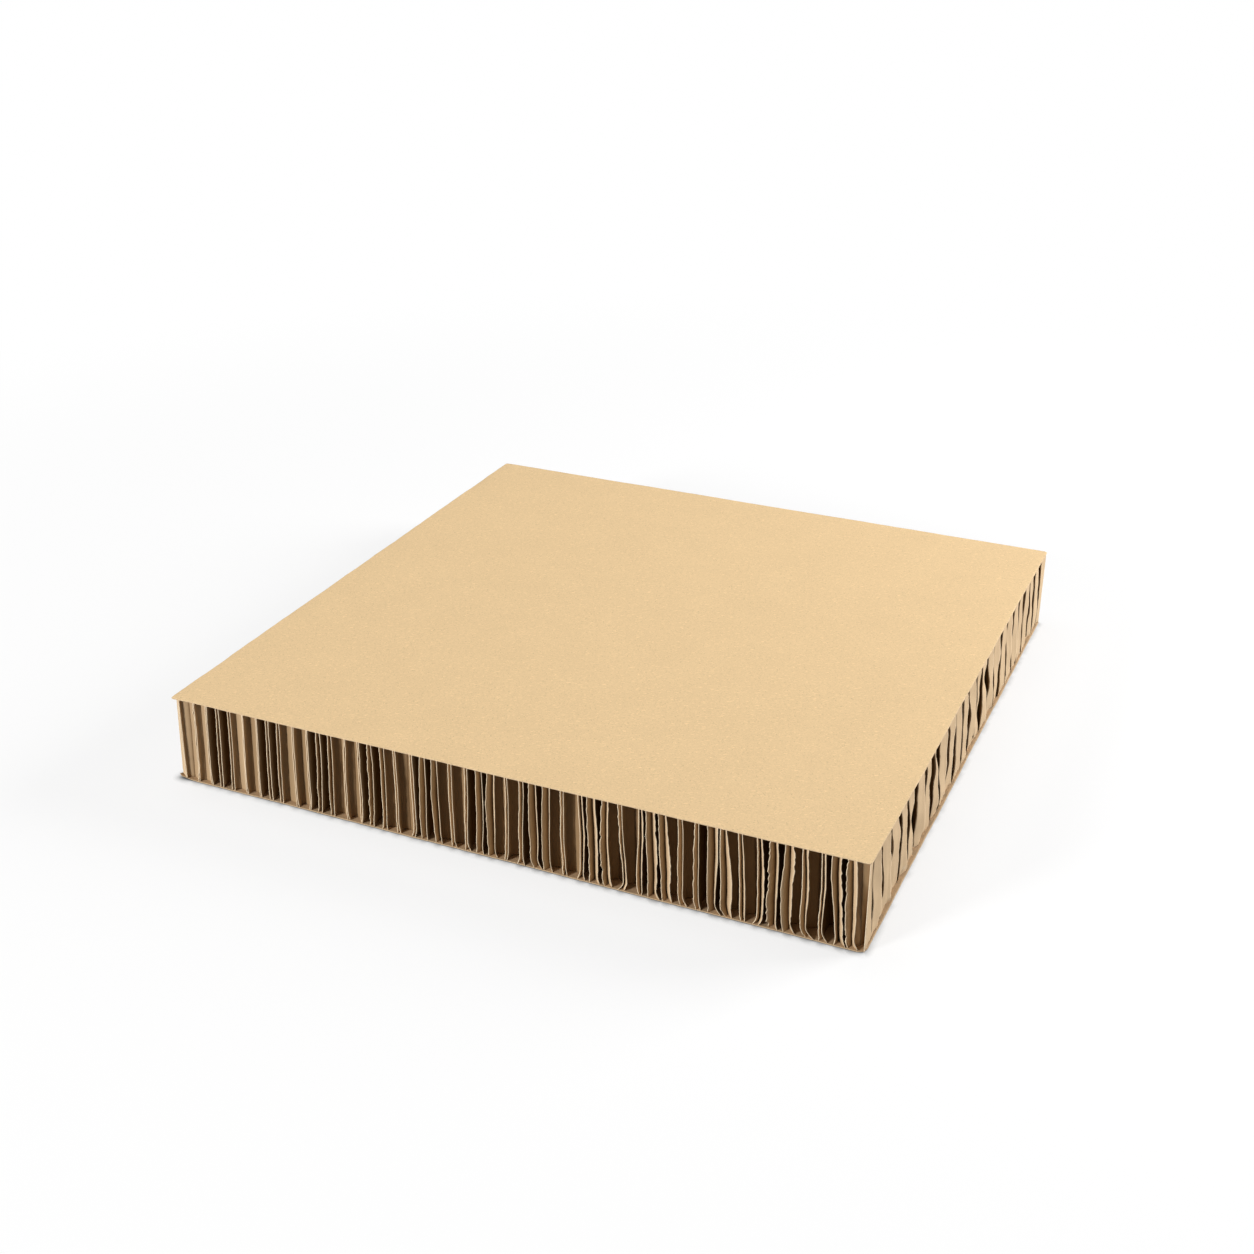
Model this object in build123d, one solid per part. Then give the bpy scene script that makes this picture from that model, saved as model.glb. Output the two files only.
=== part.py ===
from build123d import *
import math
import os

# A paper honeycomb board: two flat kraft liners glued on a core of upright kraft webs. Each web is one strip
# of paper, folded to and fro between its two neighbours and glued to each in turn, which makes closed cells.
# Lengths are millimetres. The origin is the middle of the bottom face. X runs along the front edge, Y into
# the depth along the webs, and Z up.

# The board
board_width = 500.0
board_depth = 500.0
board_thickness = 64.0

# The liners
liner_thickness = 0.6
liner_corner_radius = 2.5
worn_corner_radius = 6.0

# How far the sawn core stays behind the liners' edges
core_inset_left = 3.0
core_inset_right = 0.8
core_inset_front = 0.8
core_inset_back = 0.8

# The webs' paper
web_thickness = 0.35

# Cells across the board. They come in turn as two shallow ones and two deep ones.
edge_lane_width = 3.5
shallow_cell_width = 11.0
deep_cell_width = 9.2
cells_in_turn = 4
shallow_in_turn = 2

# Rows of folds along the board. A fold takes a web from one side of its lane to the other.
row_pitch = 10.0
fold_run = 3.0
edge_row_depth = 4.0
row_skew = 6.0
deep_cell_extra = 9.0
rows_to_settle = 3
rows_folded_at_edge = 2

# Walls whose two papers spring apart where they were sawn, and meet again a little before the first fold
slit_width = 2.4
slit_stop = 0.6

# The outermost webs: their outer flats overhang the recesses between them
right_undercut = 2.5
right_lip = 3.0
left_undercut = 1.0
left_lip = 1.5

# Places worked out from the sizes above
core_left = -board_width / 2 + core_inset_left
core_right = board_width / 2 - core_inset_right
core_front = -board_depth / 2 + core_inset_front
core_back = board_depth / 2 - core_inset_back
core_height = board_thickness - 2 * liner_thickness
first_wall = core_left + edge_lane_width

mean_cell_width = (shallow_cell_width + deep_cell_width) / 2
cells = round((core_right - first_wall) / mean_cell_width)

rows_span = core_back - core_front - 2 * edge_row_depth - row_skew - fold_run
rows = 2 * round((rows_span / row_pitch + 1) / 2)
pitch = rows_span / (rows - 1)


def is_deep(cell):
    return cell % cells_in_turn >= shallow_in_turn


def is_slit(wall):
    """A wall is slit at its sawn ends where the cell on its left is deep."""
    return is_deep(wall - 1)


def wall_places():
    """X of each wall between cells, with the cells' widths stretched a little so that they fill the core."""
    widths = [deep_cell_width if is_deep(cell) else shallow_cell_width for cell in range(cells)]
    stretch = (core_right - first_wall) / sum(widths)
    places = [first_wall]
    for width in widths:
        places.append(places[-1] + width * stretch)
    return places


def row_place(row, cell):
    """Y where a row's fold starts. The rows lie askew, and deep cells close further in than shallow ones."""
    place = core_front + edge_row_depth + row_skew * (cell + 0.5) / cells + row * pitch
    if is_deep(cell):
        from_front = max(0.0, 1 - row / rows_to_settle)
        from_back = max(0.0, 1 - (rows - 1 - row) / rows_to_settle)
        place += deep_cell_extra * (from_front - from_back)
    return place


def web_line(wall_x, centre_x, cell, slit, folded_rows):
    """Middle line of a web inside a cell: on the wall at both ends, changing sides at each folded row."""
    sides = (wall_x, centre_x)
    points = [(wall_x + slit, core_front)]
    if slit:
        points.append((wall_x, row_place(folded_rows[0], cell) - slit_stop))
    for count, row in enumerate(folded_rows):
        y = row_place(row, cell)
        points.append((sides[count % 2], y))
        points.append((sides[(count + 1) % 2], y + fold_run))
    if slit:
        points.append((wall_x, row_place(folded_rows[-1], cell) + fold_run + slit_stop))
    points.append((wall_x + slit, core_back))
    return points


def edge_web_line(outer_x, inner_x, cell, undercut, lip):
    """Middle line of an outermost web: long outer flats, and recesses that are wider inside than at their mouth."""
    points = [(outer_x, core_front)]
    for row in range(rows):
        y = row_place(row, cell)
        if row % 2 == 0:
            points.append((outer_x, y + lip / 2))
            points.append((inner_x, y + lip / 2 - undercut))
        else:
            points.append((inner_x, y - lip / 2 + undercut))
            points.append((outer_x, y - lip / 2))
    points.append((outer_x, core_back))
    return points


def heading(start, end):
    length = math.dist(start, end)
    return (end[0] - start[0]) / length, (end[1] - start[1]) / length


def web_solid(points):
    """Upright web of even thickness on a middle line, with mitred folds, from the bottom liner to the top one."""
    headings = [heading(start, end) for start, end in zip(points, points[1:])]
    headings = [headings[0], *headings, headings[-1]]
    left = []
    right = []
    for (x, y), (ax, ay), (bx, by) in zip(points, headings, headings[1:]):
        reach = web_thickness / 2 / (1 + ax * bx + ay * by)
        dx = -(ay + by) * reach
        dy = (ax + bx) * reach
        left.append((x + dx, y + dy))
        right.append((x - dx, y - dy))
    outline = make_face(Polyline(*left, *reversed(right), close=True))
    return extrude(Plane.XY.offset(liner_thickness) * outline, amount=core_height)


def liner(bottom_z, front_right_radius):
    """Flat liner sheet with worn corners."""
    sheet = Rectangle(board_width, board_depth)
    front_right = sheet.vertices().sort_by(lambda corner: corner.X - corner.Y)[-1]
    others = [corner for corner in sheet.vertices() if corner != front_right]
    sheet = fillet(others, liner_corner_radius)
    front_right = sheet.vertices().sort_by(lambda corner: corner.X - corner.Y)[-1]
    sheet = fillet(front_right, front_right_radius)
    return extrude(Plane.XY.offset(bottom_z) * sheet, amount=liner_thickness)


def save(node, shape):
    shape.label = node
    export_step(shape, f"parts/{node}.step")


def build():
    os.makedirs("parts", exist_ok=True)
    save("bottom_liner", liner(0.0, worn_corner_radius))
    save("top_liner", liner(board_thickness - liner_thickness, liner_corner_radius))

    walls = wall_places()
    half = web_thickness / 2
    all_rows = range(rows)
    end_rows = [*range(rows_folded_at_edge), *range(rows - rows_folded_at_edge, rows)]

    # The web to the left of the wall that is next, starting with the outermost one
    left_web = web_solid(
        edge_web_line(core_left + half, first_wall - half, 0, left_undercut, left_lip)
    )
    for cell in range(cells):
        middle = (walls[cell] + walls[cell + 1]) / 2
        # Hidden webs are folded only near their sawn ends. The one that carries the right edge web meets it
        # at every second row, so it is folded all along.
        folded = all_rows if cell == cells - 1 else end_rows
        slit = slit_width / 2 if is_slit(cell) else 0.0
        right_web = web_solid(web_line(walls[cell] + half, middle - half, cell, slit, folded))
        save(f"web_pair_{cell + 1:02d}", Compound(children=[left_web.solid(), right_web.solid()]))
        if cell < cells - 1:
            slit = slit_width / 2 if is_slit(cell + 1) else 0.0
            left_web = web_solid(web_line(walls[cell + 1] - half, middle + half, cell, -slit, end_rows))
        else:
            left_web = web_solid(
                edge_web_line(core_right - half, middle + half, cell, right_undercut, right_lip)
            )
    save("right_edge_web", left_web)


build()
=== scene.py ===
"""A paper honeycomb board: two kraft liners glued on a core of upright folded webs, sawn off all round.

Sizes in the sections are millimetres, and become metres where a mesh is made. The origin is the middle of the
bottom face. X runs along the front edge, Y into the depth along the webs, and Z up.
"""

import math

import bpy
import numpy as np
from mathutils import Matrix, Vector


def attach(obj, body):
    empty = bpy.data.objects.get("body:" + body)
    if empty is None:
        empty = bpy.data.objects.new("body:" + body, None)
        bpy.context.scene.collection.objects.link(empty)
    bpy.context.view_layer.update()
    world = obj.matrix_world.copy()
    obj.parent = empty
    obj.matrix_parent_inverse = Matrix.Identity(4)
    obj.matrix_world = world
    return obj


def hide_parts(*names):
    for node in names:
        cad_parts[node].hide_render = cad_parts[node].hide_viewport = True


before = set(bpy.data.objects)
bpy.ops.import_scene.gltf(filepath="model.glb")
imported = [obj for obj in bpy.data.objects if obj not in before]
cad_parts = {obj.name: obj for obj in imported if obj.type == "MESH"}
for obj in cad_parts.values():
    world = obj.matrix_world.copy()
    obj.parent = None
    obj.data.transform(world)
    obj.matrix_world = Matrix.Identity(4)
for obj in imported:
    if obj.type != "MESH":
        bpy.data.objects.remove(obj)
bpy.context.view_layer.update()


# The camera stands in front of the right corner and looks down on the board, as in the photograph. Its place,
# turn and focal length were fitted to the board's edges and corners and to the spacing of its walls there, on
# a frame of 1254 by 1254 pixels.
camera_place = Vector((0.45821, -1.07763, 0.62836))
camera_degrees = (23.7772, 26.0353, 0.1946)
focal_pixels, frame_pixels, sensor_width = 1726.09, 1254, 36.0
nearest_seen, farthest_seen = 0.01, 50.0


def camera_turn(yaw, pitch, roll):
    """The camera's right, up and back directions: turned by yaw about Z, dipped by pitch, rolled."""
    level = Vector((math.cos(yaw), math.sin(yaw), 0.0))
    ahead = Vector((-math.sin(yaw) * math.cos(pitch), math.cos(yaw) * math.cos(pitch), -math.sin(pitch)))
    upright = level.cross(ahead)
    right = math.cos(roll) * level + math.sin(roll) * upright
    up = math.cos(roll) * upright - math.sin(roll) * level
    return Matrix((right, up, -ahead)).transposed()


camera_data = bpy.data.cameras.new("camera")
camera_data.sensor_width = sensor_width
camera_data.lens = focal_pixels / frame_pixels * sensor_width
camera_data.clip_start = nearest_seen
camera_data.clip_end = farthest_seen
camera = bpy.data.objects.new("camera", camera_data)
camera_angles = [math.radians(degrees) for degrees in camera_degrees]
camera.matrix_world = Matrix.Translation(camera_place) @ camera_turn(*camera_angles).to_4x4()
bpy.context.scene.collection.objects.link(camera)
bpy.context.scene.camera = camera


# The studio: a white surround that only the camera and reflections see at full strength, and a much softer
# one that lights the board. The key light is a low soft box in front on the left. A weak one hangs overhead,
# and one stands behind the board on the right.
surround_seen, surround_light = 1.0, 0.04
soft_boxes = (
    ("soft_box_front", (-1.68, -3.15, 1.15), 0.8, 136.0),
    ("soft_box_above", (-0.5, 0.2, 2.1), 1.4, 16.0),
    ("soft_box_right", (1.85, 1.35, 0.95), 1.2, 80.0),
)


def give(tree, socket, value):
    """Sets a socket to a number or a colour, or links another node's output to it."""
    if isinstance(value, bpy.types.NodeSocket):
        tree.links.new(value, socket)
    else:
        socket.default_value = value


def math_node(tree, operation, first, second):
    """The output of a node for one operation on two values, each a number or another node's output."""
    node = tree.nodes.new("ShaderNodeMath")
    node.operation = operation
    give(tree, node.inputs[0], first)
    give(tree, node.inputs[1], second)
    return node.outputs[0]


world = bpy.data.worlds.new("surround")
bpy.context.scene.world = world
world.use_nodes = True
tree = world.node_tree
tree.nodes.clear()
rays = tree.nodes.new("ShaderNodeLightPath").outputs
camera_or_gloss = math_node(tree, "MAXIMUM", rays["Is Camera Ray"], rays["Is Glossy Ray"])
any_seen = math_node(tree, "MAXIMUM", camera_or_gloss, rays["Is Transmission Ray"])
surround_mix = tree.nodes.new("ShaderNodeMixShader")
give(tree, surround_mix.inputs[0], any_seen)
for socket, strength in zip(surround_mix.inputs[1:], (surround_light, surround_seen)):
    background = tree.nodes.new("ShaderNodeBackground")
    background.inputs["Color"].default_value = (1.0, 1.0, 1.0, 1.0)
    background.inputs["Strength"].default_value = strength
    give(tree, socket, background.outputs[0])
world_output = tree.nodes.new("ShaderNodeOutputWorld")
give(tree, world_output.inputs["Surface"], surround_mix.outputs[0])

for name, place, side, power in soft_boxes:
    soft_box_data = bpy.data.lights.new(name, "AREA")
    soft_box_data.shape = "SQUARE"
    soft_box_data.size = side
    soft_box_data.energy = power
    soft_box = bpy.data.objects.new(name, soft_box_data)
    soft_box.location = place
    soft_box.rotation_euler = (-Vector(place)).to_track_quat("-Z", "Y").to_euler()
    bpy.context.scene.collection.objects.link(soft_box)

bpy.context.scene.view_settings.view_transform = "Standard"


# The floor is a pale round sheet. To the camera it is mostly plain white, and wholly so far from the board,
# so that it runs into the surround. It keeps a faint shadow of the board, gets a thin painted shadow where
# the board stands on it, and throws only a little light back up.
floor_radius, floor_corners, floor_roughness, floor_gloss = 9.0, 64, 0.9, 0.1
floor_colour, floor_bounce_colour = (0.93, 0.93, 0.93, 1.0), (0.22, 0.22, 0.22, 1.0)

# The share of plain white by the board, and the distances at which it starts to rise and is whole
floor_white, white_from, white_to = 0.75, 0.4, 1.2

# The painted shadow at the board's foot comes from an occlusion node that looks upwards and backwards, so it
# is deeper in front of the board than on its right
contact_reach, contact_power, contact_side, contact_samples = 0.0065, 1.4, (0.2, 0.6, 0.75), 16


def surface_object(name, points, faces):
    """A mesh object at the origin from rows of points in metres and rows of vertex numbers, one a face."""
    points = np.asarray(points, np.float32)
    faces = np.asarray(faces, np.int32)
    count, corners = faces.shape
    mesh = bpy.data.meshes.new(name)
    mesh.vertices.add(len(points))
    mesh.vertices.foreach_set("co", points.ravel())
    mesh.loops.add(count * corners)
    mesh.loops.foreach_set("vertex_index", faces.ravel())
    mesh.polygons.add(count)
    mesh.polygons.foreach_set("loop_start", np.arange(0, count * corners, corners, dtype=np.int32))
    mesh.polygons.foreach_set("use_smooth", np.ones(count, bool))
    mesh.update(calc_edges=True)
    piece = bpy.data.objects.new(name, mesh)
    bpy.context.scene.collection.objects.link(piece)
    return piece


floor_turn = np.linspace(0.0, 2.0 * np.pi, floor_corners, endpoint=False)
floor_circle = np.stack([np.cos(floor_turn), np.sin(floor_turn), np.zeros(floor_corners)], axis=1)
floor = surface_object("floor", floor_radius * floor_circle, [np.arange(floor_corners)])


def colour_mix(tree, share, first, second):
    """The output of a node that goes from one colour to another by a share.

    A mix node's colours are its inputs 6 and 7, and its mixed colour is its output 2.
    """
    node = tree.nodes.new("ShaderNodeMix")
    node.data_type = "RGBA"
    give(tree, node.inputs[0], share)
    give(tree, node.inputs[6], first)
    give(tree, node.inputs[7], second)
    return node.outputs[2]


floor_material = bpy.data.materials.new("pale_floor")
floor_material.use_nodes = True
tree = floor_material.node_tree
by_camera = tree.nodes.new("ShaderNodeLightPath").outputs["Is Camera Ray"]
floor_tone = colour_mix(tree, by_camera, floor_bounce_colour, floor_colour)

contact_normal = tree.nodes.new("ShaderNodeCombineXYZ")
for socket, value in zip(contact_normal.inputs, contact_side):
    socket.default_value = value
# A painted contact shadow: the occlusion darkens the floor's colour and its glow near the board.
painted_contact_shadow = tree.nodes.new("ShaderNodeAmbientOcclusion")
painted_contact_shadow.samples = contact_samples
painted_contact_shadow.inputs["Distance"].default_value = contact_reach
give(tree, painted_contact_shadow.inputs["Color"], floor_tone)
give(tree, painted_contact_shadow.inputs["Normal"], contact_normal.outputs[0])

floor_shader = tree.nodes["Principled BSDF"]
floor_shader.inputs["Roughness"].default_value = floor_roughness
floor_shader.inputs["Specular IOR Level"].default_value = floor_gloss
give(tree, floor_shader.inputs["Base Color"], painted_contact_shadow.outputs["Color"])
glow = tree.nodes.new("ShaderNodeEmission")
give(tree, glow.inputs["Strength"], math_node(tree, "POWER", painted_contact_shadow.outputs["AO"], contact_power))

floor_place = tree.nodes.new("ShaderNodeTexCoord")
floor_distance = tree.nodes.new("ShaderNodeVectorMath")
floor_distance.operation = "LENGTH"
give(tree, floor_distance.inputs[0], floor_place.outputs["Object"])
whiteness = tree.nodes.new("ShaderNodeMapRange")
whiteness.interpolation_type = "SMOOTHSTEP"
give(tree, whiteness.inputs["Value"], floor_distance.outputs["Value"])
for name, value in (("From Min", white_from), ("From Max", white_to), ("To Min", floor_white)):
    whiteness.inputs[name].default_value = value

floor_mix = tree.nodes.new("ShaderNodeMixShader")
give(tree, floor_mix.inputs[0], math_node(tree, "MULTIPLY", by_camera, whiteness.outputs["Result"]))
give(tree, floor_mix.inputs[1], floor_shader.outputs[0])
give(tree, floor_mix.inputs[2], glow.outputs[0])
give(tree, tree.nodes["Material Output"].inputs["Surface"], floor_mix.outputs[0])
floor.data.materials.append(floor_material)


# The liners are two sheets of smooth kraft paper, 0.6 mm thick, glued on the core's top and bottom. Knives
# cut them, so their edges are nearly straight, with a slight waver, soft worn corners and a paler cut. The
# bottom one curls up at its front left corner.
board_width, board_depth, board_thickness = 500.0, 500.0, 64.0
liner_thickness, liner_corner, worn_corner = 0.6, 2.5, 6.0
# The second colour is painted shade, for each liner's face towards the core.
liner_colour, liner_painted_shade_colour = (0.735, 0.53, 0.293), (0.47, 0.325, 0.19)
liner_edge_colour = (0.62, 0.46, 0.29)
millimetre = 0.001

# The pattern of kraft paper: slow clouds, a fine felt, and pale and dark hairs. The hairs lie two ways,
# wander a little, and show where their noise is in a band. A noise is a scale, a detail and a roughness.
cloud_noise, felt_noise, hair_noise = (28.0, 3.0, 0.55), (900.0, 4.0, 0.7), (1.0, 2.0, 0.55)
wander_noise, wander_size = (260.0, 1.0, 0.5), 1.6
pale_hair_turn, pale_hair_band = (0.3, 0.2, 0.55), (0.60, 0.68)
dark_hair_turn, dark_hair_band = (-0.4, 0.5, -0.9), (0.61, 0.69)
felt_share, hair_share = 0.9, 0.5
felt_height, hair_height, relief_depth, paper_gloss = 0.6, 0.5, 0.00012, 0.25


def paper_group():
    """Node group for kraft paper. It puts out a colour and a height.

    The colour goes from the given one to the inner one, which is painted shade, and then to the cut one by
    their masks. Clouds, felt and hairs make it lighter and darker, and the felt and the pale hairs stand up.
    """
    group = bpy.data.node_groups.new("kraft_paper", "ShaderNodeTree")
    for way, kind, names in (
        ("INPUT", "NodeSocketColor", ("Colour", "Inner Colour", "Cut Colour")),
        ("INPUT", "NodeSocketFloat", ("Painted_Shade", "Cut", "Clouds", "Fibres")),
        ("INPUT", "NodeSocketVector", ("Fibre Scale",)),
        ("OUTPUT", "NodeSocketColor", ("Colour",)),
        ("OUTPUT", "NodeSocketFloat", ("Height",)),
    ):
        for name in names:
            group.interface.new_socket(name, in_out=way, socket_type=kind)
    nodes, links = group.nodes, group.links
    given = nodes.new("NodeGroupInput")
    result = nodes.new("NodeGroupOutput")
    place = nodes.new("ShaderNodeTexCoord").outputs["Object"]

    def noise(vector, scale, detail, roughness, output="Fac"):
        """Fractal noise over a vector, about 0.5 in the mean."""
        node = nodes.new("ShaderNodeTexNoise")
        node.inputs["Scale"].default_value = scale
        node.inputs["Detail"].default_value = detail
        node.inputs["Roughness"].default_value = roughness
        links.new(vector, node.inputs["Vector"])
        return node.outputs[output]

    def vector_node(operation, first, socket, second):
        """The output of a node for one operation on a vector and the value of its other socket."""
        node = nodes.new("ShaderNodeVectorMath")
        node.operation = operation
        links.new(first, node.inputs[0])
        give(group, node.inputs[socket], second)
        return node.outputs[0]

    def band(value, low, high):
        """0 below low, 1 above high, and a smooth rise between them."""
        node = nodes.new("ShaderNodeMapRange")
        node.interpolation_type = "SMOOTHSTEP"
        node.inputs["From Min"].default_value = low
        node.inputs["From Max"].default_value = high
        links.new(value, node.inputs["Value"])
        return node.outputs["Result"]

    def stretched(turn):
        """The place, turned, times the fibre scale, plus a slow noise that bends the hairs."""
        node = nodes.new("ShaderNodeMapping")
        node.vector_type = "TEXTURE"
        node.inputs["Rotation"].default_value = turn
        links.new(place, node.inputs["Vector"])
        scaled = vector_node("MULTIPLY", node.outputs["Vector"], 1, given.outputs["Fibre Scale"])
        wandering = vector_node("SCALE", noise(place, *wander_noise, output="Color"), "Scale", wander_size)
        return vector_node("ADD", scaled, 1, wandering)

    fibres = given.outputs["Fibres"]
    clouds = math_node(group, "SUBTRACT", noise(place, *cloud_noise), 0.5)
    felt = math_node(group, "SUBTRACT", noise(place, *felt_noise), 0.5)
    pale_hairs = band(noise(stretched(pale_hair_turn), *hair_noise), *pale_hair_band)
    dark_hairs = band(noise(stretched(dark_hair_turn), *hair_noise), *dark_hair_band)
    hairs = math_node(group, "SUBTRACT", pale_hairs, dark_hairs)
    cloud_change = math_node(group, "MULTIPLY", clouds, given.outputs["Clouds"])
    felt_change = math_node(group, "MULTIPLY", felt, math_node(group, "MULTIPLY", fibres, felt_share))
    hair_change = math_node(group, "MULTIPLY", math_node(group, "MULTIPLY", hairs, fibres), hair_share)
    change = math_node(group, "ADD", math_node(group, "ADD", cloud_change, felt_change), hair_change)
    whole = colour_mix(group, given.outputs["Painted_Shade"], given.outputs["Colour"], given.outputs["Inner Colour"])
    paper = colour_mix(group, given.outputs["Cut"], whole, given.outputs["Cut Colour"])
    shaded = vector_node("SCALE", paper, "Scale", math_node(group, "ADD", change, 1.0))
    links.new(shaded, result.inputs["Colour"])
    felt_rise = math_node(group, "MULTIPLY", felt, felt_height)
    hair_rise = math_node(group, "MULTIPLY", pale_hairs, hair_height)
    links.new(math_node(group, "ADD", felt_rise, hair_rise), result.inputs["Height"])
    return group


kraft_paper = paper_group()


def paper_material(name, colour, inner_colour, cut_colour, clouds, fibres, fibre_scale, roughness, relief):
    """A kraft material of its own colours. The attribute cut says where the paper is cut, and inner how much
    painted shade darkens it, inside the board's cells and on the liners' faces towards the core.
    """
    material = bpy.data.materials.new(name)
    material.use_nodes = True
    nodes, links = material.node_tree.nodes, material.node_tree.links
    shader = nodes["Principled BSDF"]
    paper = nodes.new("ShaderNodeGroup")
    paper.node_tree = kraft_paper
    for socket, value in (
        ("Colour", (*colour, 1.0)),
        ("Inner Colour", (*inner_colour, 1.0)),
        ("Cut Colour", (*cut_colour, 1.0)),
        ("Clouds", clouds),
        ("Fibres", fibres),
        ("Fibre Scale", fibre_scale),
    ):
        paper.inputs[socket].default_value = value
    # The attribute inner is painted shade.
    for attribute_name, socket in (("cut", "Cut"), ("inner", "Painted_Shade")):
        mask = nodes.new("ShaderNodeAttribute")
        mask.attribute_name = attribute_name
        links.new(mask.outputs["Fac"], paper.inputs[socket])
    relief_node = nodes.new("ShaderNodeBump")
    relief_node.inputs["Strength"].default_value = relief
    relief_node.inputs["Distance"].default_value = relief_depth
    links.new(paper.outputs["Colour"], shader.inputs["Base Color"])
    links.new(paper.outputs["Height"], relief_node.inputs["Height"])
    links.new(relief_node.outputs["Normal"], shader.inputs["Normal"])
    shader.inputs["Roughness"].default_value = roughness
    shader.inputs["Specular IOR Level"].default_value = paper_gloss
    return material


def give_masks(piece, cut, inner):
    """Stores two masks, one value a vertex from 0 to 1, as the attributes cut and inner."""
    for name, mask in (("cut", cut), ("inner", inner)):
        attribute = piece.data.attributes.new(name, "FLOAT", "POINT")
        attribute.data.foreach_set("value", np.asarray(mask, np.float32).ravel())


def ripple(place, waves, phases):
    """Sum of sine waves along place: each has its length and size from waves, and its own phase."""
    total = np.zeros(np.broadcast(place, phases[..., 0]).shape)
    for number, (length, size) in enumerate(waves):
        total = total + size * np.sin(2.0 * np.pi * place / length + phases[..., number])
    return total


liner_material = paper_material(
    "liner_kraft",
    liner_colour,
    liner_painted_shade_colour,
    liner_edge_colour,
    clouds=0.08,
    fibres=0.4,
    fibre_scale=(240.0, 1250.0, 1250.0),
    roughness=0.8,
    relief=0.6,
)


def soft_step(value):
    """0 below 0, 1 above 1, and a smooth rise between them."""
    value = np.clip(value, 0.0, 1.0)
    return value * value * (3.0 - 2.0 * value)


# A liner's outline: its points along a side and round a corner, the waves of its edge, as lengths and sizes,
# and how far from the middle a trim at the left begins
side_points, corner_points, outline_step = 190, 9, 2.5
edge_inset, edge_waves = 0.3, ((173.0, 0.16), (61.0, 0.1), (19.0, 0.05), (7.0, 0.04))
trim_from, trim_run = 200.0, 48.0


def liner_outline(corner, seed, left_trim):
    """Points round a square sheet with rounded corners, about 2.5 mm apart, that waver by up to 0.7 mm.

    The front right corner has its own radius, and the sheet ends short by left_trim at the left.
    """
    half = board_width / 2.0
    side = np.linspace(-half + 2.0 * corner, half - 2.0 * corner, side_points)
    turn = np.linspace(0.0, np.pi / 2.0, corner_points)
    corners = np.full(4, liner_corner)
    corners[1] = corner
    pieces = []
    for number, radius in enumerate(corners):
        angle = number * np.pi / 2.0 - np.pi
        heading = np.array([np.cos(angle), np.sin(angle)])
        across = np.array([-heading[1], heading[0]])
        centre = (half - radius) * heading + (half - radius) * across
        arc = centre + radius * (np.cos(turn)[:, None] * heading + np.sin(turn)[:, None] * across)
        run = half * across - side[:, None] * heading
        pieces += [arc, run]
    outline = np.concatenate(pieces)
    chance = np.random.default_rng(seed)
    phases = chance.uniform(0.0, 2.0 * np.pi, (1, 4))
    waver = ripple(np.arange(len(outline)) * outline_step, edge_waves, phases)
    inward = outline / np.linalg.norm(outline, axis=1)[:, None]
    outline = outline - inward * (edge_inset + waver)[:, None]
    outline[:, 0] += left_trim * soft_step((-outline[:, 0] - trim_from) / trim_run)
    return outline


# A liner's rings as shares of its outline, the wear of its edge at each, and the shares from which it droops
# and is cut. The droop grows from left_from, and a corner curls within curl_reach.
ring_places = np.array([0.02, 0.3, 0.6, 0.8, 0.9, 0.95, 0.975, 0.99, 0.996, 0.9988, 1.0])
ring_wear = np.array([0.0] * 9 + [0.02, 0.22])
droop_from, droop_run, cut_from, cut_run = 0.97, 0.03, 0.9985, 0.001
droop_waves = ((140.0, 0.5), (47.0, 0.3), (21.0, 0.2))
left_from, left_run, droop_elsewhere, curl_reach = 215.0, 35.0, 0.3, 7.0


def liner_piece(name, low, corner, seed, droop, left_trim, corner_lift):
    """A liner as rings: shrunken copies of its outline from the middle of its top, round its edge, to below.

    A ring is the outline times a share. The edge rises by droop times a slow wave along it, most at the left.
    The front left corner lifts by corner_lift times the square of one less its distance over its reach. The
    sheet keeps inside its own thickness at its middle.
    """
    outline = liner_outline(corner, seed, left_trim)
    count = len(outline)
    ring_shares = np.concatenate([ring_places, ring_places[::-1]])
    ring_heights = np.concatenate([liner_thickness - ring_wear, ring_wear[::-1]])
    chance = np.random.default_rng(seed + 1)
    phases = chance.uniform(0.0, 2.0 * np.pi, (1, 3))
    wave = 0.5 + 0.5 * ripple(np.arange(count) * outline_step, droop_waves, phases)
    left = np.clip((-outline[:, 0] - left_from) / left_run, 0.0, 1.0) ** 2
    edge_droop = droop * (droop_elsewhere + left) * wave
    near_edge = np.clip((ring_shares - droop_from) / droop_run, 0.0, 1.0) ** 2
    rings = outline[None] * ring_shares[:, None, None]
    heights = low + ring_heights[:, None] + near_edge[:, None] * edge_droop[None]
    from_corner = np.linalg.norm(rings + board_width / 2.0, axis=2)
    heights = heights + corner_lift * np.clip(1.0 - from_corner / curl_reach, 0.0, 1.0) ** 2
    points = np.concatenate([rings, heights[..., None]], axis=2).reshape(-1, 3)
    centres = np.array([[0.0, 0.0, low + liner_thickness], [0.0, 0.0, low]])
    ring_count = len(ring_shares)
    steps = np.arange(count)
    following = (steps + 1) % count
    ring = np.arange(ring_count - 1)[:, None] * count
    here, ahead = ring + steps, ring + following
    band = np.stack([here, here + count, ahead + count, here, ahead + count, ahead], axis=-1).reshape(-1, 3)
    last = (ring_count - 1) * count
    top_fan = np.stack([np.full(count, ring_count * count), steps, following], axis=1)
    low_fan = np.stack([np.full(count, ring_count * count + 1), last + following, last + steps], axis=1)
    piece = surface_object(
        name, np.concatenate([points, centres]) * millimetre, np.concatenate([band, top_fan, low_fan])
    )
    ring_cut = np.clip((ring_shares - cut_from) / cut_run, 0.0, 1.0)
    # The liner's face towards the core gets painted shade.
    shaded_face_is_top = 1.0 if low < board_thickness / 2.0 else 0.0
    shaded_sides = [shaded_face_is_top, 1.0 - shaded_face_is_top]
    give_masks(
        piece,
        np.concatenate([np.repeat(ring_cut, count), [0.0, 0.0]]),
        np.concatenate([np.repeat(shaded_sides, len(ring_places) * count), shaded_sides]),
    )
    piece.data.materials.append(liner_material)
    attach(piece, "root")
    return piece


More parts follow.
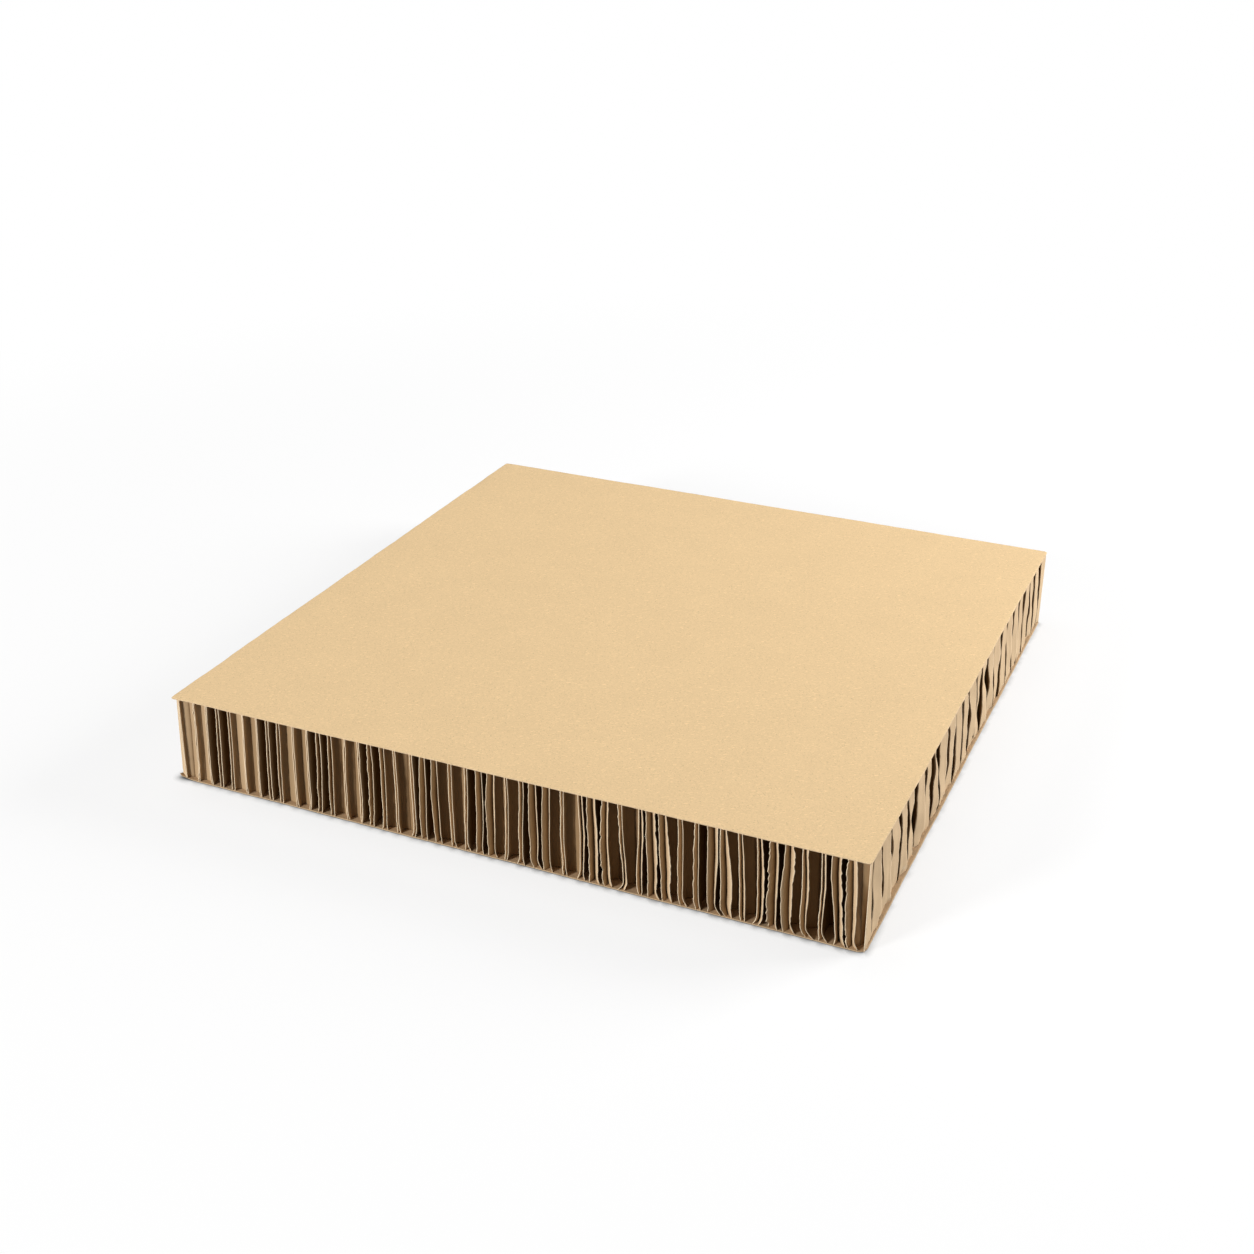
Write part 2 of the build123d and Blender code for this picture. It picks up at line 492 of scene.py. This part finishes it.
top_liner = liner_piece(
    "kraft_top_liner",
    low=board_thickness - liner_thickness,
    corner=liner_corner,
    seed=11,
    droop=-0.5,
    left_trim=0.5,
    corner_lift=0.0,
)
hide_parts("top_liner")
bottom_liner = liner_piece(
    "kraft_bottom_liner", low=0.0, corner=worn_corner, seed=23, droop=0.3, left_trim=0.0, corner_lift=4.0
)
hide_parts("bottom_liner")


# The webs are strips of thinner, greyer kraft that stand upright, folded to and fro between their two
# neighbours and glued to each in turn. Their lanes are as wide as half a cell, so glued folds meet face to
# face. A saw cut their ends, which frayed, bent and sprang apart.
core_inset_left, core_inset = 3.0, 0.8
core_left, core_right = -board_width / 2.0 + core_inset_left, board_width / 2.0 - core_inset
core_front, core_back = -board_depth / 2.0 + core_inset, board_depth / 2.0 - core_inset
core_low, core_high = liner_thickness, board_thickness - liner_thickness
web_thickness = 0.35
edge_lane, shallow_cell, deep_cell, cells_in_turn, shallow_in_turn = 3.5, 11.0, 9.2, 4, 2
row_pitch, fold_run, edge_row_depth, row_skew = 10.0, 3.0, 4.0, 6.0
deep_extra, rows_to_settle = 9.0, 3
web_colour = (0.61, 0.44, 0.265)
# The next colour is painted shade: the webs darken towards it inside the cells, more the deeper from the cut.
web_painted_shade_colour = (0.16, 0.082, 0.024)
web_cut_colour = (0.86, 0.69, 0.48)

first_wall = core_left + edge_lane
cells = round((core_right - first_wall) / ((shallow_cell + deep_cell) / 2.0))
rows_span = core_back - core_front - 2.0 * edge_row_depth - row_skew - fold_run
rows = 2 * round((rows_span / row_pitch + 1.0) / 2.0)
pitch = rows_span / (rows - 1)

cell_numbers = np.arange(cells)
deep = cell_numbers % cells_in_turn >= shallow_in_turn
cell_widths = np.where(deep, deep_cell, shallow_cell)
cell_widths = cell_widths * (core_right - first_wall) / cell_widths.sum()
walls = first_wall + np.concatenate([[0.0], np.cumsum(cell_widths)])
borders = np.empty(2 * cells + 2)
borders[0] = core_left
borders[1::2] = walls
borders[2::2] = (walls[:-1] + walls[1:]) / 2.0
border_count = len(borders)

# The rows of folds lie a little further forward and more askew than they were meant to. Each cell's are a
# little off, and the last cell's first fold stands well forward.
rows_forward, skew_more, skew_power, rows_scatter, most_scatter, rows_seed = 1.3, 0.8, 1.2, 0.6, 1.0, 60
corner_forward = 4.6

row_numbers = np.arange(rows)
from_front = np.maximum(0.0, 1.0 - row_numbers / rows_to_settle)
from_back = np.maximum(0.0, 1.0 - (rows - 1 - row_numbers) / rows_to_settle)
cell_scatter = np.random.default_rng(rows_seed).normal(0.0, rows_scatter, (cells, 1))
row_places = (
    core_front
    + edge_row_depth - rows_forward
    + (row_skew + skew_more) * ((cell_numbers[:, None] + 0.5) / cells) ** skew_power
    + np.clip(cell_scatter, -most_scatter, most_scatter)
    + row_numbers[None] * pitch
    + np.where(deep[:, None], deep_extra * (from_front - from_back)[None], 0.0)
)
row_places[-1, 0] -= corner_forward

# At a sawn end each border between lanes shifts, waves and bends, each ply tears, and a wall's two plies
# spring apart. Wear grows from left to right along a cut side.
wear_left, wear_more, right_from, right_run = 0.3, 0.7, 0.1, 0.6
shift_mean, shift_scatter = 0.6, 0.45
bend_least, bend_more, bend_from = 0.1, 1.7, 0.15
tear_least, tear_more, corner_tear = 0.7, 3.6, 0.5
web_seed = 4780

web_chance = np.random.default_rng(web_seed)
border_across = (borders + board_width / 2.0) / board_width
end_across = np.stack([border_across, 1.0 - border_across])
end_wear = wear_left + wear_more * end_across
end_right = soft_step((end_across - right_from) / right_run)
border_phases = web_chance.uniform(0.0, 2.0 * np.pi, (2, border_count, 4))
border_shift = web_chance.normal(0.0, shift_scatter, (2, border_count)) + shift_mean
border_bend = web_chance.uniform(0.1, 1.0, (2, border_count))
border_bend = bend_least + bend_more * soft_step((end_across - bend_from) / right_run) * border_bend
ply_phases = web_chance.uniform(0.0, 2.0 * np.pi, (2, border_count, 5))
ply_tear = tear_least + tear_more * web_chance.uniform(0.0, 1.0, (2, border_count)) ** 3 * end_wear
ply_tear[:, -3:] = corner_tear
opening_shape = web_chance.uniform(0.0, 1.0, (2, 2, border_count, 4))

# The feet of the walls curl aside on the liner. A wall's foot goes at most 1.8 mm further right than the next
# one's, and a cell's middle goes by the mean of both.
foot_left, foot_right, foot_gap = -2.2, 3.6, 0.9
foot_curl = web_chance.uniform(foot_left, foot_right, (2, border_count)) * end_wear
foot_step = foot_gap * np.arange(border_count)
foot_curl[:, 1::2] = np.maximum.accumulate(foot_curl[:, 1::2] + foot_step[1::2], axis=1) - foot_step[1::2]
foot_curl[:, 2:-1:2] = (foot_curl[:, 1:-2:2] + foot_curl[:, 3::2]) / 2.0

# Where a cut side begins at the left, a cell's two webs meet a little to the left of the cell's middle.
middle_least, middle_most, middle_run = 0.5, 2.6, 0.5
middle_shift = -web_chance.uniform(middle_least, middle_most, (2, border_count))
middle_shift = middle_shift * (1.0 - soft_step((end_across - right_from) / middle_run))
middle_shift[:, 1::2] = 0.0
middle_shift[:, 0] = 0.0

# How the core leans, and the waves of a wall as lengths and sizes. Then how deep from the sawn end the waves,
# the curl of the foot and the bend go, and how high the curl goes.
most_lean, lean_end, lean_run, lean_lost = 2.4, 245.0, 40.0, 0.5
wall_waves = ((95.0, 0.45), (41.0, 0.12), (19.0, 0.05), (9.0, 0.03))
rough_left, rough_more, waver_depth = 0.4, 0.7, 26.0
curl_height, curl_depth = 8.5, 10.0
bend_length, bend_depth, bend_power, bend_mean, bend_swing, bend_limit = 21.0, 4.6, 1.5, 0.75, 0.5, 1.5


def border_place(border, y, z):
    """X of a border between lanes: straight in the middle of the board, and wavering near the sawn ends.

    The core's top leans right on the left and left on the right, by a cosine of the place across, and half as
    much away from the ends. Near an end the border shifts by its own amount and waves with height, its foot
    curls aside by the square of its nearness to the liner, and it bends by a power of its nearness to the
    cut.
    """
    height = (z - core_low) / (core_high - core_low)
    inside = soft_step(min(border, border_count - 1 - border) / 2.0)
    lean = most_lean * np.cos(np.pi * border_across[border]) * (height - 0.5)
    lean = lean * (1.0 - lean_lost * soft_step((lean_end - np.abs(y)) / lean_run))
    total = borders[border] + (1.0 if border == 0 else inside) * lean
    for end, depth in enumerate((y - core_front, core_back - y)):
        phases = border_phases[end, border]
        wave = (rough_left + rough_more * end_across[end, border]) * ripple(z, wall_waves, phases)
        sideways = border_shift[end, border] + middle_shift[end, border]
        fade = 1.0 - soft_step(depth / waver_depth)
        curl = foot_curl[end, border] * np.clip(1.0 - (z - core_low) / curl_height, 0.0, 1.0) ** 2
        near = 1.0 - soft_step(depth / curl_depth)
        bent = border_bend[end, border] * (bend_mean + bend_swing * np.sin(z / bend_length + phases[0]))
        bent = bent * np.clip(1.0 - depth / bend_depth, 0.0, bend_limit) ** bend_power
        total = total + inside * (fade * (wave + sideways) + near * curl + bent)
    return total


# How wide the plies of a wall spring apart: at least, by chance, and more on the right. A wall with a deep
# cell on its left has a slit, and any other a gap. Then how the width varies with height and at the foot, and
# how far in it reaches, which is less on the right. Both openings of a cell leave closest_plies between them.
slit_least, slit_chance, slit_right = 0.9, 0.5, 2.1
gap_least, gap_chance, gap_right, gap_right_chance = 0.1, 0.25, 0.6, 1.4
open_mean, open_bulge = 0.75, 0.4
open_foot_height, open_foot_swing, open_foot_back, open_foot_left, open_foot_right = 7.0, 2.0, 0.7, 0.3, 2.0
open_reach, open_reach_less, open_power, open_least = 9.0, 3.6, 1.4, 0.05
open_limit, closest_plies = 1.3, 2.2


def ply_opening(wall, side, y, z, reach):
    """How far a wall's left or right ply, by side, stands off the wall where its two plies spring apart.

    The width at the cut varies with height by a tilt and a bulge, and the foot stands further off or nearer
    by the square of its nearness to the liner. It falls over reach, or sooner, as a power of the nearness to
    the cut.
    """
    border = 2 * wall + 1
    height = (z - core_low) / (core_high - core_low)
    low = np.clip(1.0 - (z - core_low) / open_foot_height, 0.0, 1.0) ** 2
    total = np.zeros(np.broadcast(y, z).shape)
    for end, depth in enumerate((y - core_front, core_back - y)):
        tilt, bulge, share, spread = opening_shape[end, side, border]
        right = end_right[end, border]
        if wall > 0 and deep[wall - 1]:
            width = slit_least + slit_chance * share + slit_right * right
        else:
            width = gap_least + gap_chance * share + (gap_right + gap_right_chance * spread) * right
        along = open_mean + (tilt - 0.5) * (height - 0.5) + open_bulge * bulge * np.sin(np.pi * height)
        foot = (open_foot_swing * tilt - open_foot_back) * (open_foot_left + open_foot_right * right) * low
        run = min(reach[end], open_reach - open_reach_less * right)
        opening = np.maximum(width * along + foot, open_least)
        total = total + opening * np.clip(1.0 - depth / run, 0.0, open_limit) ** open_power
    return total


def lane_points(lane, y, share, z, reach, half):
    """Middle surface of a web: share 0 is the lane's left border and 1 its right one, less half a paper.

    A web on a wall stands off it by its opening. Both openings of a cell shrink where they would nearly meet.
    """
    left, right = border_place(lane, y, z) + half, border_place(lane + 1, y, z) - half
    if 0 < lane < border_count - 2:
        cell = (lane - 1) // 2
        room = border_place(2 * cell + 3, y, z) - border_place(2 * cell + 1, y, z)
        left_open, right_open = ply_opening(cell, 1, y, z, reach), ply_opening(cell + 1, 0, y, z, reach)
        fit = np.clip((room - closest_plies) / np.maximum(left_open + right_open, 0.01), 0.0, 1.0)
        if lane % 2 == 1:
            left = left + fit * left_open
        else:
            right = right - fit * right_open
    return left + share * (right - left)


def paper_sides(x, y, half):
    """Both faces of a web, half a paper to each side of its middle surface, with mitred folds.

    At a column the offset is the sum of the two neighbouring headings' left normals times half over one plus
    the headings' dot product.
    """
    step_x, step_y = np.diff(x, axis=0), np.diff(y, axis=0)
    length = np.maximum(np.hypot(step_x, step_y), 1e-6)
    step_x, step_y = step_x / length, step_y / length
    before_x, before_y = np.concatenate([step_x[:1], step_x]), np.concatenate([step_y[:1], step_y])
    after_x, after_y = np.concatenate([step_x, step_x[-1:]]), np.concatenate([step_y, step_y[-1:]])
    reach = half / np.maximum(1.0 + before_x * after_x + before_y * after_y, 0.5)
    offset_x, offset_y = -(before_y + after_y) * reach, (before_x + after_x) * reach
    return (x + offset_x, y + offset_y), (x - offset_x, y - offset_y)


def grid_faces(first, columns, levels):
    """Two triangles for each square of a grid of points, stored column by column from point number first."""
    column, level = np.meshgrid(np.arange(columns - 1), np.arange(levels - 1), indexing="ij")
    corner = first + column * levels + level
    return np.stack(
        [corner, corner + levels, corner + levels + 1, corner, corner + levels + 1, corner + 1], axis=-1
    ).reshape(-1, 3)


def fan_faces(fine, low, high):
    """Triangles that join a fine column of points to a coarse one of two points, low and high."""
    middle = len(fine) // 2
    coarse = np.where(np.arange(len(fine) - 1) < middle, low, high)
    fan = np.stack([fine[:-1], coarse, fine[1:]], axis=1)
    return np.insert(fan, middle, [fine[middle], low, high], axis=0)


def strip_faces(first, second):
    """Two triangles for each step of two rows of point numbers, first and second, that run side by side."""
    return np.concatenate(
        [
            np.stack([first[:-1], first[1:], second[1:]], axis=1),
            np.stack([first[:-1], second[1:], second[:-1]], axis=1),
        ]
    )


# Heights of the points up a web, closer together near the liners, and their steps along it from its sawn end.
# The straight run to the first fold ends before_fold short of it, and a fold far from the cut is rounder.
level_count, level_crowding = 34, 0.45
level_share = np.linspace(0.0, 1.0, level_count)
level_share = level_share - level_crowding * np.sin(2.0 * np.pi * level_share) / (2.0 * np.pi)
fine_levels = core_low + (core_high - core_low) * level_share
coarse_levels = np.array([core_low, core_high])
end_steps = np.array([0.0, 0.12, 0.45, 1.0, 1.7])
straight_steps, fold_steps, before_fold, shortest_straight = 5, 9, 0.6, 1.9
far_fold, fold_run_more, near_fold_run, past_fold = 6.5, 1.2, 2.4, 0.8


def end_path(fold_start, edge):
    """Places along a web from its sawn edge to just past its first fold, and its share of the lane at each.

    Straight steps that grow, then the fold: the share rises as a smooth step over the fold's run, widened a
    little, because stiff paper folds round.
    """
    away = abs(fold_start - edge)
    run = fold_run + fold_run_more if away > far_fold else near_fold_run
    straight = np.linspace(end_steps[-1], max(away - before_fold, shortest_straight), straight_steps)[1:]
    turn = np.linspace(0.0, 1.0, fold_steps)[1:]
    fold = straight[-1] + turn * run
    distance = np.concatenate([end_steps, straight, fold, [fold[-1] + past_fold]])
    share = np.concatenate([np.zeros(len(end_steps) + len(straight)), soft_step(turn), [1.0]])
    return edge + np.sign(fold_start - edge) * distance, share


# A sawn end: the burr that thickens the paper, the waves of its jagged edge, how far it stands out past the
# cut at most, and the depths of the jags and of the pale cut. Painted shade darkens the faces from the first
# depth below and deepens over the second, and shallow cells get a little less of it. In a slit or gap it
# starts nearer the cut, on the left most of all.
burr_depth, burr_more = 0.7, 0.55
jag_waves = ((31.0, 0.14), (13.0, 0.12), (6.1, 0.1), (3.3, 0.09), (1.9, 0.05))
jag_out, jag_depth, cut_depth = 0.55, 2.0, 0.3
shade_from, shade_run, shallow_shade = 0.5, 5.4, 0.74
slit_shade_from, slit_shade_right, slit_shade_run = 0.1, 2.9, 1.4


def web_shell(lane, cell, from_wall):
    """One web of a cell as a closed shell: fine sawn ends, and a coarse folded middle that the ends hide.

    Its middle surface is a grid of places along it by heights. At a sawn end the burr and the jags fade as
    exponentials of the depth. The mask cut does too, and the mask inner, which is painted shade, rises with
    the depth as a smooth step. The last cell, whose inside is in full light, gets no painted shade.
    """
    places = row_places[cell]
    front_y, front_share = end_path(places[0], core_front)
    back_y, back_share = end_path(places[-1] + fold_run, core_back)
    reach = (abs(places[0] - core_front), abs(core_back - places[-1] - fold_run))
    middle_y = np.stack([places[1:-1], places[1:-1] + fold_run], axis=1).ravel()
    middle_share = np.tile([1.0, 0.0, 0.0, 1.0], (rows - 2) // 2)
    cell_shade = 1.0 if deep[cell] else shallow_shade
    if cell == cells - 1:
        cell_shade = 0.0
    slit_side = 0 if from_wall else 1
    parts = []
    for path_y, share, levels, edge in (
        (front_y, front_share, fine_levels, core_front),
        (middle_y, middle_share, coarse_levels, None),
        (back_y[::-1], back_share[::-1], fine_levels, core_back),
    ):
        z = np.broadcast_to(levels[None], (len(path_y), len(levels)))
        y = np.broadcast_to(path_y[:, None], z.shape).copy()
        half = np.full(z.shape, web_thickness / 2.0)
        cut = np.zeros(z.shape)
        inner = slit_shade = np.ones(z.shape)
        if edge is not None:
            end = 0 if edge == core_front else 1
            depth = np.abs(y - edge)
            half = half * (1.0 + burr_more * np.exp(-depth / burr_depth))
            jag = np.maximum(ply_tear[end, lane] * ripple(z, jag_waves, ply_phases[end, lane]), -jag_out)
            y = y - np.sign(edge) * jag * np.exp(-depth / jag_depth)
            cut = np.exp(-depth / cut_depth)
            # inner is painted shade that darkens the faces deeper in the cells; the slit side gets it nearer
            # the cut.
            inner = cell_shade * soft_step((depth - shade_from) / shade_run)
            slit_shade_start = slit_shade_from + slit_shade_right * end_right[end, lane]
            slit_shade = soft_step((depth - slit_shade_start) / slit_shade_run)
        side_share = share[:, None] if from_wall else 1.0 - share[:, None]
        x = lane_points(lane, y, side_share, z, reach, half)
        (left_x, left_y), (right_x, right_y) = paper_sides(x, y, half)
        sides = [np.stack([left_x, left_y, z], -1), np.stack([right_x, right_y, z], -1)]
        side_shades = [inner, inner]
        side_shades[slit_side] = np.maximum(inner, slit_shade)
        parts.append((sides, cut, side_shades))
    points, cuts, shade_masks, faces, starts = [], [], [], [], []
    total = 0
    for side in (0, 1):
        for sides, cut, side_shades in parts:
            starts.append(total)
            points.append(sides[side].reshape(-1, 3))
            cuts.append(cut.ravel())
            shade_masks.append(side_shades[side].ravel())
            total += cut.size
    shapes = [cut.shape for sides, cut, side_shades in parts]
    up = np.arange(level_count)
    edges = []
    for side in (0, 1):
        front_start, middle_start, back_start = side_starts = starts[3 * side : 3 * side + 3]
        front_last = front_start + (shapes[0][0] - 1) * level_count + up
        middle_last = middle_start + (shapes[1][0] - 1) * len(coarse_levels)
        side_faces = [grid_faces(start, *shape) for start, shape in zip(side_starts, shapes)]
        side_faces.append(fan_faces(front_last, middle_start, middle_start + 1))
        side_faces.append(fan_faces(back_start + up, middle_last, middle_last + 1)[:, ::-1])
        side_faces = np.concatenate(side_faces)
        faces.append(side_faces[:, ::-1] if side == 0 else side_faces)
        low = [start + np.arange(columns) * levels for start, (columns, levels) in zip(side_starts, shapes)]
        high = [row + levels - 1 for row, (columns, levels) in zip(low, shapes)]
        edges.append((np.concatenate(low), np.concatenate(high)))
    (left_low, left_high), (right_low, right_high) = edges
    faces += [strip_faces(left_low, right_low), strip_faces(right_high, left_high)]
    last_column = (shapes[2][0] - 1) * level_count
    faces.append(strip_faces(starts[0] + up, starts[3] + up)[:, ::-1])
    faces.append(strip_faces(starts[5] + last_column + up, starts[2] + last_column + up)[:, ::-1])
    return np.concatenate(points), np.concatenate(cuts), np.concatenate(shade_masks), np.concatenate(faces)


# The outermost web on each side is a strip of the same kraft, glued only to its inner neighbour. Its outer
# flats stand free and overhang the recesses between them, so their lips are frayed and their feet crushed.
# First come the steps from a sawn end, the rise of a fold, and the parts of a flat, as columns of points.
edge_steps = np.array([0.0, 0.12, 0.45, 1.1])[:, None]
fold_rise = np.array([0.0, 0.05, 0.25, 0.6, 0.85, 0.97, 1.0])[:, None]
flat_parts = np.array([0.04, 0.18, 0.34, 0.5, 0.66, 0.82, 0.96])[:, None]
last_flat_parts = np.array([0.04, 0.5, 0.96])[:, None]

# Waves, as lengths and sizes, of ragged lips, sunken lips, bulging and heaving flats, and scalloped feet
lip_waves = ((23.0, 0.35), (9.0, 0.2), (4.1, 0.12))
sunk_waves = ((83.0, 0.8), (29.0, 0.3))
bulge_waves = ((31.0, 0.4), (12.3, 0.3), (5.0, 0.15), (71.0, 0.15))
heave_waves, heave_slant = ((57.0, 0.5), (23.0, 0.3), (11.0, 0.2), (140.0, 0.1)), 0.3
scallop_waves = ((47.0, 0.5), (17.0, 0.5), (7.3, 0.3))

# Mouths of the recesses: how near the lips come, how a mouth leans by chance, its foot most of all, the
# height below which it is shut, how wide its top is and how often it is wider, and how its foot opens again
narrowest, tilt_scatter, tilt_reach = 0.55, 1.2, 22.0
foot_kick, foot_kick_height = (-4.0, 1.0), 0.15
mouth_stop, mouth_power, top_width, wide_share, wide_more = (-1.8, 0.5), 0.8, (0.75, 1.25), 0.3, 1.5
foot_opening, foot_opening_height = (-1.2, 1.8), (0.15, 0.5)
first_lip, first_fold, lip_settle, edge_seed = 6.0, 4.0, 15.0, 97

# How far a fold undercuts the flats, how long its lip is, how the flats lean and how deep a lip sinks at most
left_edge, right_edge = (1.0, 1.5, -2.0, 0.5), (2.5, 3.0, -15.0, 3.0)

# How far the flats sink: by bulges, by creases, by a foot that draws in and by the crushed scallops. The torn
# rims are nearly as pale as the cut, and so are the lips, as frayed paper and as a painted highlight. The
# recesses are darkened inside by painted shade.
bulge_depth, most_crease, crease_least = 0.6, 0.45, 0.4
scallop_height, scallop_soft, crush_depth, foot_run, sink_run = 7.0, 1.5, 1.8, 2.0, 3.0
edge_cut_depth, lip_fray_and_highlight, rim_width = 0.5, 0.8, 0.8
recess_rise, recess_from, recess_run, recess_least = 0.15, 3.0, 5.0, 0.6


def edge_web_shell(lane, cell, outer_is_right):
    """An outermost web as a closed shell, fine all along: long outer flats and recesses open to the side.

    Each fold is a smooth double bend from the outer border to the inner one, or back, that overshoots a
    little, so that the flats' ends hang over the recesses. The flats lean. Most mouths are wide at the top
    and taper until their lips nearly meet, and some open again at the foot. The flats sink in towards some
    lips, bulge in two directions, are creased from top to foot, and are crushed in scallops at their feet.
    """
    places = row_places[cell]
    undercut, lip, lean, deepest_lip = right_edge if outer_is_right else left_edge
    chance = np.random.default_rng(edge_seed + lane)
    height = (fine_levels - core_low) / (core_high - core_low)
    level = np.zeros(level_count)
    fold_fall = fold_rise[::-1]
    laid = []

    def lay(y, share, sunk):
        """Adds columns of points: places along the web, shares of the way inwards, and depths sunk."""
        laid.append(np.broadcast_arrays(y + level, share, sunk))

    lay(core_front + edge_steps, 0.0 if outer_is_right else 1.0, 0.0)
    if not outer_is_right:
        lay(core_front + edge_steps[-1] + (1.0 - fold_fall), fold_fall, 0.0)
    for first, second in zip(places[::2], places[1::2]):
        mean = (first + second) / 2.0
        widest = (second - first - lip) / 2.0
        tilt = lean * (height - 0.5) + chance.normal(0.0, tilt_scatter)
        tilt = tilt + chance.uniform(*foot_kick) * np.exp(-height / foot_kick_height)
        tilt = tilt * soft_step((mean - core_front) / tilt_reach) * soft_step((core_back - mean) / tilt_reach)
        stop = chance.uniform(*mouth_stop)
        top_mouth = widest * chance.uniform(*top_width) * (wide_more if chance.random() < wide_share else 1.0)
        mouth = top_mouth * np.clip((height - stop) / (1.0 - stop), 0.0, 1.0) ** mouth_power
        foot = chance.uniform(*foot_opening)
        foot = foot * np.clip(1.0 - height / chance.uniform(*foot_opening_height), 0.0, 1.0)
        mouth = np.maximum(np.maximum(mouth, foot), narrowest)
        ragged = ripple(fine_levels, lip_waves, chance.uniform(0.0, 2.0 * np.pi, (2, 1, 3)))
        ragged = np.minimum(ragged, mouth - narrowest)
        in_start = np.maximum(mean - mouth + tilt + ragged[0], core_front + first_lip)
        in_finish = np.maximum(first + lip / 2.0 - undercut + tilt, core_front + first_fold)
        out_start = second - lip / 2.0 + undercut + tilt
        out_finish = mean + mouth + tilt - ragged[1]
        in_sunk, out_sunk = deepest_lip * chance.uniform(0.0, 1.0, 2)[:, None] * (
            0.5 + 0.5 * ripple(fine_levels, sunk_waves, chance.uniform(0.0, 2.0 * np.pi, (2, 1, 2)))
        )
        in_sunk = in_sunk * soft_step((first - core_front) / lip_settle)
        last_y, last_sunk = laid[-1][0][-1], laid[-1][2][-1]
        lay(last_y + flat_parts * (in_start - last_y), 0.0, last_sunk + flat_parts * (in_sunk - last_sunk))
        lay(in_start + (in_finish - in_start) * fold_rise, fold_rise, in_sunk * (1.0 - fold_rise))
        lay(out_finish + (out_start - out_finish) * fold_fall, fold_fall, out_sunk * (1.0 - fold_fall))
    last_y, last_sunk = laid[-1][0][-1], laid[-1][2][-1]
    flat_end = core_back - edge_steps[-1]
    lay(last_y + last_flat_parts * (flat_end - last_y), 0.0, last_sunk * (1.0 - last_flat_parts))
    lay(core_back - edge_steps[::-1], 0.0, 0.0)
    y, share, sunk = (np.concatenate(columns) for columns in zip(*laid))

    z = np.broadcast_to(fine_levels[None], y.shape)
    on_flat = share == 0.0
    depth = np.minimum(np.abs(y - core_front), np.abs(core_back - y))
    half = web_thickness / 2.0 * (1.0 + burr_more * np.exp(-depth / burr_depth))
    phases = chance.uniform(0.0, 2.0 * np.pi, (1, 4))
    bulge = 0.5 + 0.5 * ripple(y, bulge_waves, phases)
    heave = 0.5 + 0.5 * ripple(z + heave_slant * y, heave_waves, phases[:, ::-1])
    scallop = scallop_height * np.clip(ripple(y, scallop_waves, phases[:, 1:]), 0.0, 1.0)
    above = z - core_low - scallop
    in_scallop = soft_step(scallop / scallop_soft)
    crushed = crush_depth * soft_step(0.5 - above / scallop_soft) * in_scallop
    foot = np.exp(-(z - core_low) / foot_run) + crushed
    creases = chance.uniform(0.0, most_crease, (len(y), 1)) * (crease_least + (1.0 - crease_least) * heave)
    sink = sunk + bulge_depth * bulge * heave + foot * bulge + creases
    reach = (places[0] - core_front, core_back - places[-1] - fold_run)
    x = lane_points(lane, y, 1.0 - share if outer_is_right else share, z, reach, half)
    outward = 1.0 if outer_is_right else -1.0
    x = x - outward * sink * (1.0 - share) * np.clip(depth / sink_run, 0.0, 1.0)
    points = np.concatenate([np.stack([*side, z], -1).reshape(-1, 3) for side in paper_sides(x, y, half)])

    near_lip = np.zeros(y.shape)
    near_lip[:-1] += on_flat[:-1] & ~on_flat[1:]
    near_lip[1:] += on_flat[1:] & ~on_flat[:-1]
    rim = np.exp(-np.square(above / rim_width)) * in_scallop * on_flat
    # Lips and rims take the pale cut colour: the rims as torn paper, the lips as frayed paper and a painted
    # highlight.
    cut = np.maximum(np.exp(-depth / edge_cut_depth), lip_fray_and_highlight * np.maximum(near_lip, rim))
    # Painted shade in the recesses: it darkens the folds deeper from the cut, and on the right side near it
    # too.
    recess_shade = np.maximum(soft_step((depth - recess_from) / recess_run), recess_least if outer_is_right else 0.0)
    inner = soft_step(share / recess_rise) * recess_shade

    columns = len(y)
    other = columns * level_count
    low = np.arange(columns) * level_count
    high = low + level_count - 1
    front = np.arange(level_count)
    back = front + (columns - 1) * level_count
    faces = [
        grid_faces(0, columns, level_count)[:, ::-1],
        grid_faces(other, columns, level_count),
        strip_faces(low, low + other),
        strip_faces(high + other, high),
        strip_faces(front, front + other)[:, ::-1],
        strip_faces(back + other, back)[:, ::-1],
    ]
    return points, np.tile(cut.ravel(), 2), np.tile(inner.ravel(), 2), np.concatenate(faces)


web_material = paper_material(
    "web_kraft",
    web_colour,
    web_painted_shade_colour,
    web_cut_colour,
    clouds=0.16,
    fibres=0.14,
    fibre_scale=(2600.0, 2600.0, 500.0),
    roughness=0.88,
    relief=0.5,
)


def web_piece(name, shells, node):
    """One object from the shells of a cell's outer and inner webs, in place of their CAD node."""
    points = np.concatenate([shell[0] for shell in shells]) * millimetre
    offsets = np.cumsum([0] + [len(shell[0]) for shell in shells[:-1]])
    faces = np.concatenate([shell[3] + offset for shell, offset in zip(shells, offsets)])
    piece = surface_object(name, points, faces)
    give_masks(piece, *(np.concatenate([shell[number] for shell in shells]) for number in (1, 2)))
    piece.data.materials.append(web_material)
    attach(piece, "root")
    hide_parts(node)


previous_shell = edge_web_shell(0, 0, False)
for cell in range(cells):
    right_shell = web_shell(2 * cell + 1, cell, True)
    web_piece(f"folded_webs_{cell + 1:02d}", [previous_shell, right_shell], f"web_pair_{cell + 1:02d}")
    if cell < cells - 1:
        previous_shell = web_shell(2 * cell + 2, cell, False)
web_piece("folded_right_edge_web", [edge_web_shell(2 * cells, cells - 1, True)], "right_edge_web")
